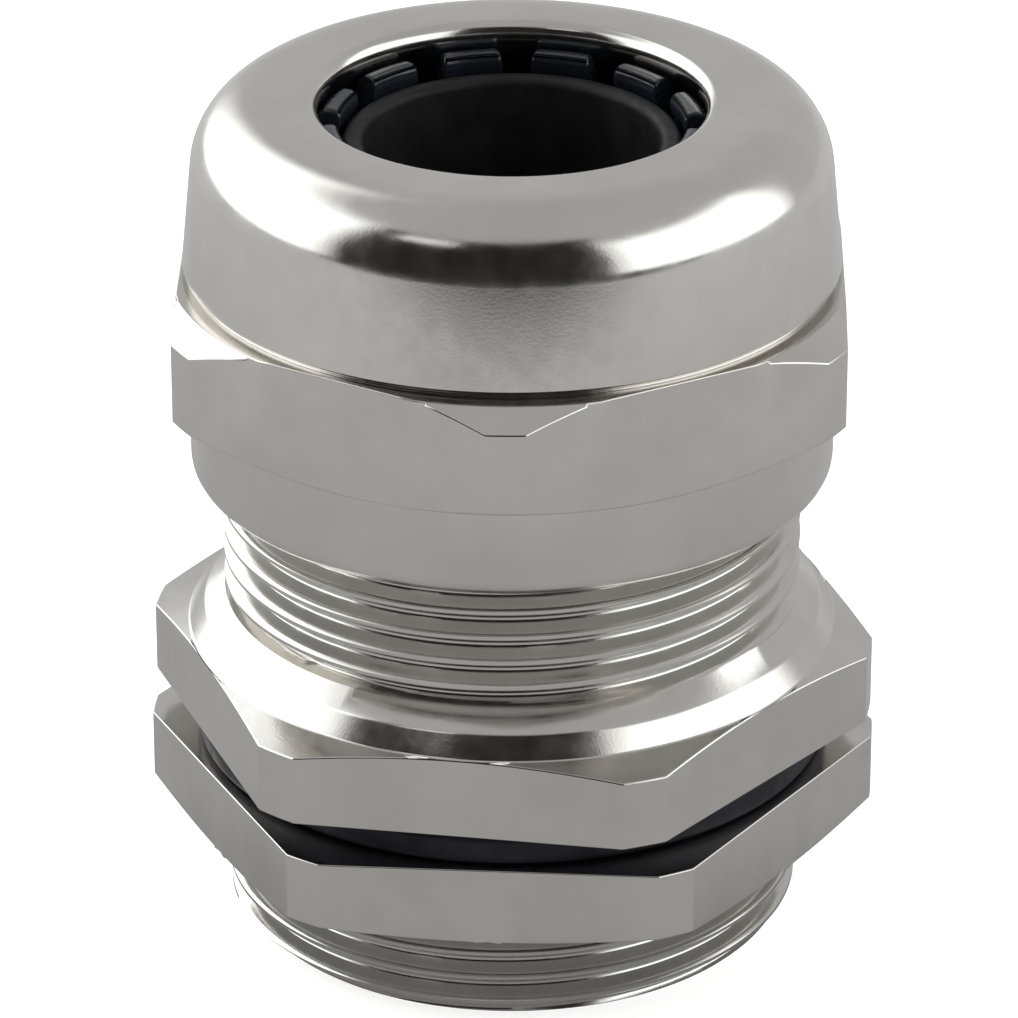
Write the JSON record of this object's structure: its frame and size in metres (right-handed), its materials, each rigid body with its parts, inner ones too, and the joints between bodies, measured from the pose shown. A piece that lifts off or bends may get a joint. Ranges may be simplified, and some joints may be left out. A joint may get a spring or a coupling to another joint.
{
  "type": "cable gland",
  "caption": "Metric cable gland: domed cap nut with clamping claw and rubber seal, hexagon-flanged threaded body, sealing ring and lock nut.",
  "frame": {"origin": "centre of the end of the connection thread, the face the gland stands on", "axes": "+Z along the cable way, from the connection thread towards the dome; -Y is the side nearest the picture's viewer"},
  "size_m": [0.0404, 0.0404, 0.048],
  "materials": {
    "nickel_body": "satin nickel plating on brass",
    "nickel_dome": "satin nickel plating on brass",
    "nickel_lock_nut": "satin nickel plating on brass",
    "gasket_rubber": "smooth black rubber",
    "seal_rubber": "matt dark grey rubber",
    "claw_plastic": "glossy black polyamide"
  },
  "bodies": {
    "gland_body": {"gland_body": "nickel_body"},
    "seal": {"seal_insert": "seal_rubber"},
    "claw": {"claw_ring": "claw_plastic"},
    "dome_nut": {"dome_nut": "nickel_dome"},
    "gasket": {"connection_seal": "gasket_rubber"},
    "lock_nut": {"lock_nut": "nickel_lock_nut"},
    "finger_01": {"finger_01": "claw_plastic"},
    "finger_02": {"finger_02": "claw_plastic"},
    "finger_03": {"finger_03": "claw_plastic"},
    "finger_04": {"finger_04": "claw_plastic"},
    "finger_05": {"finger_05": "claw_plastic"},
    "finger_06": {"finger_06": "claw_plastic"},
    "finger_07": {"finger_07": "claw_plastic"},
    "finger_08": {"finger_08": "claw_plastic"},
    "finger_09": {"finger_09": "claw_plastic"},
    "finger_10": {"finger_10": "claw_plastic"},
    "finger_11": {"finger_11": "claw_plastic"},
    "finger_12": {"finger_12": "claw_plastic"}
  },
  "joints": [
    {"name": "cap_lift", "type": "slide", "parent": "gland_body", "child": "seal", "axis": [0, 0, 1], "range_m": [0, 0.025]},
    {"name": "cap_turn", "type": "hinge", "parent": "seal", "child": "claw", "pos_m": [0, 0, 0.0368], "axis": [0, 0, 1], "range_deg": [-720, 720], "deforming": ["seal_insert"]},
    {"name": "cap_travel", "type": "slide", "parent": "claw", "child": "dome_nut", "axis": [0, 0, 1], "range_m": [-0.0031, 0.0031]},
    {"name": "finger_01_close", "type": "hinge", "parent": "claw", "child": "finger_01", "pos_m": [0.01264, 0.00303, 0.03655], "axis": [-0.2334, 0.9724, 0], "range_deg": [-10.2, 10.2]},
    {"name": "finger_02_close", "type": "hinge", "parent": "claw", "child": "finger_02", "pos_m": [0.00943, 0.00895, 0.03655], "axis": [-0.6884, 0.7254, 0], "range_deg": [-10.2, 10.2]},
    {"name": "finger_03_close", "type": "hinge", "parent": "claw", "child": "finger_03", "pos_m": [0.00369, 0.01246, 0.03655], "axis": [-0.9588, 0.284, 0], "range_deg": [-10.2, 10.2]},
    {"name": "finger_04_close", "type": "hinge", "parent": "claw", "child": "finger_04", "pos_m": [-0.00303, 0.01264, 0.03655], "axis": [-0.9724, -0.2334, 0], "range_deg": [-10.2, 10.2]},
    {"name": "finger_05_close", "type": "hinge", "parent": "claw", "child": "finger_05", "pos_m": [-0.00895, 0.00943, 0.03655], "axis": [-0.7254, -0.6884, 0], "range_deg": [-10.2, 10.2]},
    {"name": "finger_06_close", "type": "hinge", "parent": "claw", "child": "finger_06", "pos_m": [-0.01246, 0.00369, 0.03655], "axis": [-0.284, -0.9588, 0], "range_deg": [-10.2, 10.2]},
    {"name": "finger_07_close", "type": "hinge", "parent": "claw", "child": "finger_07", "pos_m": [-0.01264, -0.00303, 0.03655], "axis": [0.2334, -0.9724, 0], "range_deg": [-10.2, 10.2]},
    {"name": "finger_08_close", "type": "hinge", "parent": "claw", "child": "finger_08", "pos_m": [-0.00943, -0.00895, 0.03655], "axis": [0.6884, -0.7254, 0], "range_deg": [-10.2, 10.2]},
    {"name": "finger_09_close", "type": "hinge", "parent": "claw", "child": "finger_09", "pos_m": [-0.00369, -0.01246, 0.03655], "axis": [0.9588, -0.284, 0], "range_deg": [-10.2, 10.2]},
    {"name": "finger_10_close", "type": "hinge", "parent": "claw", "child": "finger_10", "pos_m": [0.00303, -0.01264, 0.03655], "axis": [0.9724, 0.2334, 0], "range_deg": [-10.2, 10.2]},
    {"name": "finger_11_close", "type": "hinge", "parent": "claw", "child": "finger_11", "pos_m": [0.00895, -0.00943, 0.03655], "axis": [0.7254, 0.6884, 0], "range_deg": [-10.2, 10.2]},
    {"name": "finger_12_close", "type": "hinge", "parent": "claw", "child": "finger_12", "pos_m": [0.01246, -0.00369, 0.03655], "axis": [0.284, 0.9588, 0], "range_deg": [-10.2, 10.2]},
    {"name": "lock_nut_travel", "type": "slide", "parent": "gland_body", "child": "gasket", "axis": [0, 0, 1], "range_m": [-0.0106, 0]},
    {"name": "lock_nut_turn", "type": "hinge", "parent": "gasket", "child": "lock_nut", "pos_m": [0, 0, 0.0082], "axis": [0, 0, 1], "range_deg": [-2520, 0]}
  ],
  "couplings": [
    {"joint": "cap_travel", "follows": "cap_turn", "m_per_rad": 0.00023873},
    {"joint": "finger_01_close", "follows": "cap_turn", "ratio": 0.014},
    {"joint": "finger_02_close", "follows": "cap_turn", "ratio": 0.014},
    {"joint": "finger_03_close", "follows": "cap_turn", "ratio": 0.014},
    {"joint": "finger_04_close", "follows": "cap_turn", "ratio": 0.014},
    {"joint": "finger_05_close", "follows": "cap_turn", "ratio": 0.014},
    {"joint": "finger_06_close", "follows": "cap_turn", "ratio": 0.014},
    {"joint": "finger_07_close", "follows": "cap_turn", "ratio": 0.014},
    {"joint": "finger_08_close", "follows": "cap_turn", "ratio": 0.014},
    {"joint": "finger_09_close", "follows": "cap_turn", "ratio": 0.014},
    {"joint": "finger_10_close", "follows": "cap_turn", "ratio": 0.014},
    {"joint": "finger_11_close", "follows": "cap_turn", "ratio": 0.014},
    {"joint": "finger_12_close", "follows": "cap_turn", "ratio": 0.014},
    {"joint": "lock_nut_travel", "follows": "lock_nut_turn", "m_per_rad": 0.00023873}
  ]
}
